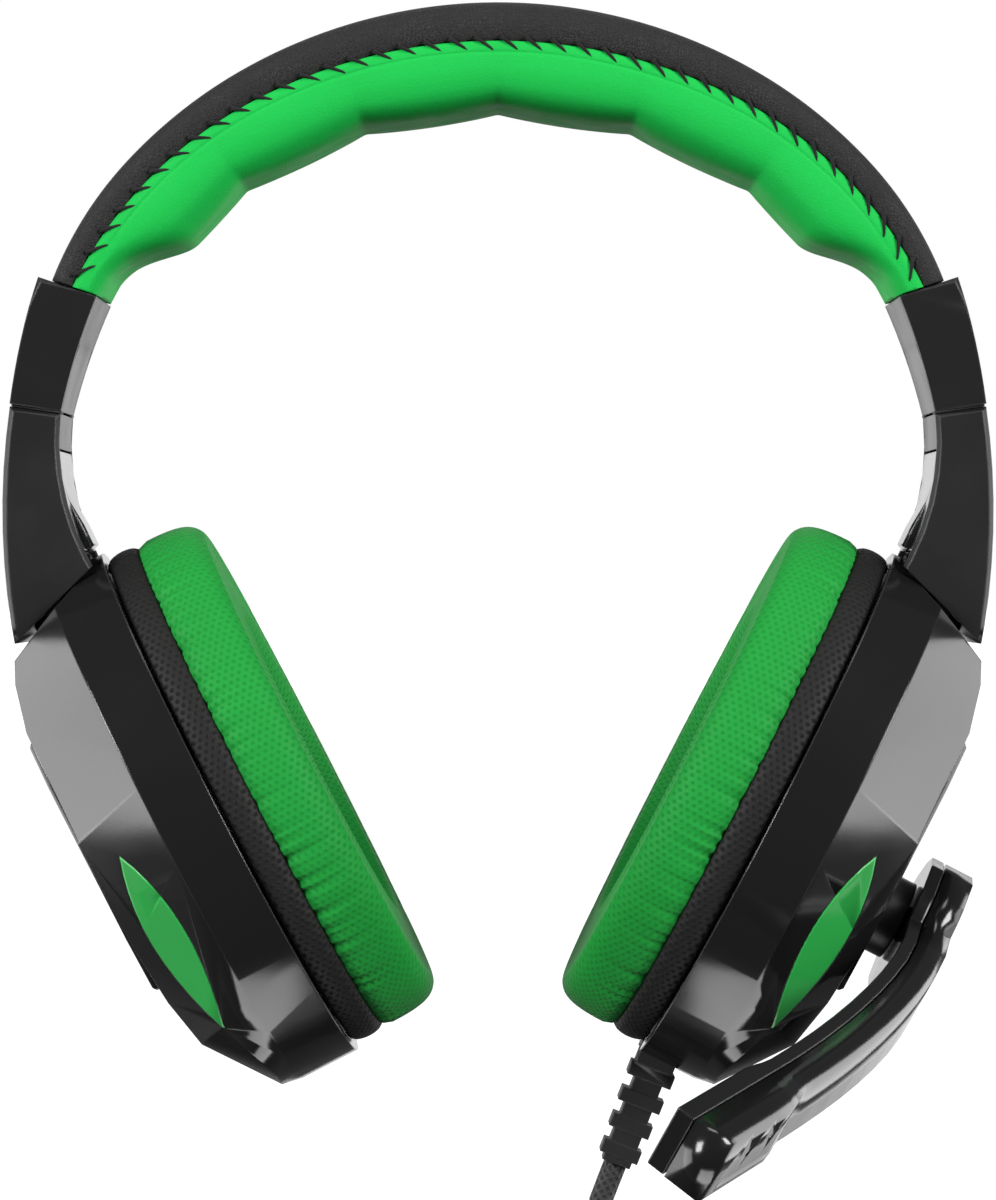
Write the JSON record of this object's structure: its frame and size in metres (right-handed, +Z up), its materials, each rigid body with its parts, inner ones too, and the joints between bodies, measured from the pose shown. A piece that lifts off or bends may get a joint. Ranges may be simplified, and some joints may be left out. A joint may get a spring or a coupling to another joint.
{
  "type": "gaming headset",
  "caption": "Over-ear gaming headset with a padded headband, sliding arms, tilting ear cups with mesh cushions, a swing-up boom microphone and a coiled braided lead.",
  "frame": {"origin": "middle of the underside of the headband pad, where the headset rests on a head or a stand", "axes": "+Z up out of the top of the headband, -Y the way the wearer looks, +X towards the cup that carries the microphone"},
  "size_m": [0.1856, 0.1508, 0.3025],
  "materials": {
    "black_leatherette": "fine-grained matt leatherette",
    "green_leatherette": "smooth satin leatherette",
    "black_plastic": "satin moulded plastic",
    "gloss_black": "glossy moulded plastic",
    "green_gloss": "glossy moulded plastic",
    "black_mesh": "knitted sport mesh",
    "green_mesh": "knitted sport mesh with hexagonal cells",
    "steel": "drawn strip",
    "rubber": "satin moulded rubber",
    "braid": "braided sleeve over a rubber core",
    "plug_metal": "nickel-plated contact pin"
  },
  "bodies": {
    "headband": {"headband_cover": "black_leatherette", "headband_pad": "green_leatherette", "headband_spring": "steel", "headband_lead": "rubber", "housing_outer_right": "black_plastic", "housing_inner_right": "black_plastic", "detent_spring_right": "steel", "housing_outer_left": "black_plastic", "housing_inner_left": "black_plastic", "detent_spring_left": "steel"},
    "arm_right": {"slider_strip_right": "steel", "arm_outer_right": "black_plastic", "arm_inner_upper_right": "black_plastic", "arm_inner_lower_right": "gloss_black", "tilt_pin_right": "steel"},
    "cup_right": {"cup_shell_right": "gloss_black", "cup_cover_right": "black_plastic", "cup_insert_rear_right": "green_gloss", "cup_insert_front_right": "green_gloss", "speaker_plate_right": "black_plastic", "speaker_driver_right": "black_plastic", "cushion_band_right": "black_mesh", "cushion_right": "green_mesh", "ear_scrim_right": "black_mesh", "mic_pivot": "black_plastic", "strain_relief": "rubber", "lead_cord": "braid", "lead_tail": "braid", "coil_tie": "rubber", "lead_coil": "braid", "plug_body": "rubber", "plug_pin": "plug_metal"},
    "arm_left": {"slider_strip_left": "steel", "arm_outer_left": "black_plastic", "arm_inner_upper_left": "black_plastic", "arm_inner_lower_left": "gloss_black", "tilt_pin_left": "steel"},
    "cup_left": {"cup_shell_left": "gloss_black", "cup_cover_left": "black_plastic", "cup_insert_rear_left": "green_gloss", "cup_insert_front_left": "green_gloss", "speaker_plate_left": "black_plastic", "speaker_driver_left": "black_plastic", "cushion_band_left": "black_mesh", "cushion_left": "green_mesh", "ear_scrim_left": "black_mesh"},
    "mic_boom": {"mic_boom_inner": "gloss_black", "mic_boom_outer": "gloss_black", "mic_element": "steel"}
  },
  "joints": [
    {"name": "slide_right", "type": "hinge", "parent": "headband", "child": "arm_right", "pos_m": [-0.0445, 0, -0.076], "axis": [0, 1, 0], "range_deg": [0, 8.3]},
    {"name": "slide_left", "type": "hinge", "parent": "headband", "child": "arm_left", "pos_m": [0.0445, 0, -0.076], "axis": [0, -1, 0], "range_deg": [0, 8.3]},
    {"name": "tilt_right", "type": "hinge", "parent": "arm_right", "child": "cup_right", "pos_m": [0.0824, 0, -0.0855], "axis": [0, -1, 0], "range_deg": [-2, 6]},
    {"name": "tilt_left", "type": "hinge", "parent": "arm_left", "child": "cup_left", "pos_m": [-0.0824, 0, -0.0855], "axis": [0, 1, 0], "range_deg": [-2, 6]},
    {"name": "mic_swing", "type": "hinge", "parent": "cup_right", "child": "mic_boom", "pos_m": [0.0788, 0, -0.1552], "axis": [-0.8894, 0, 0.4571], "range_deg": [-15, 110]}
  ]
}
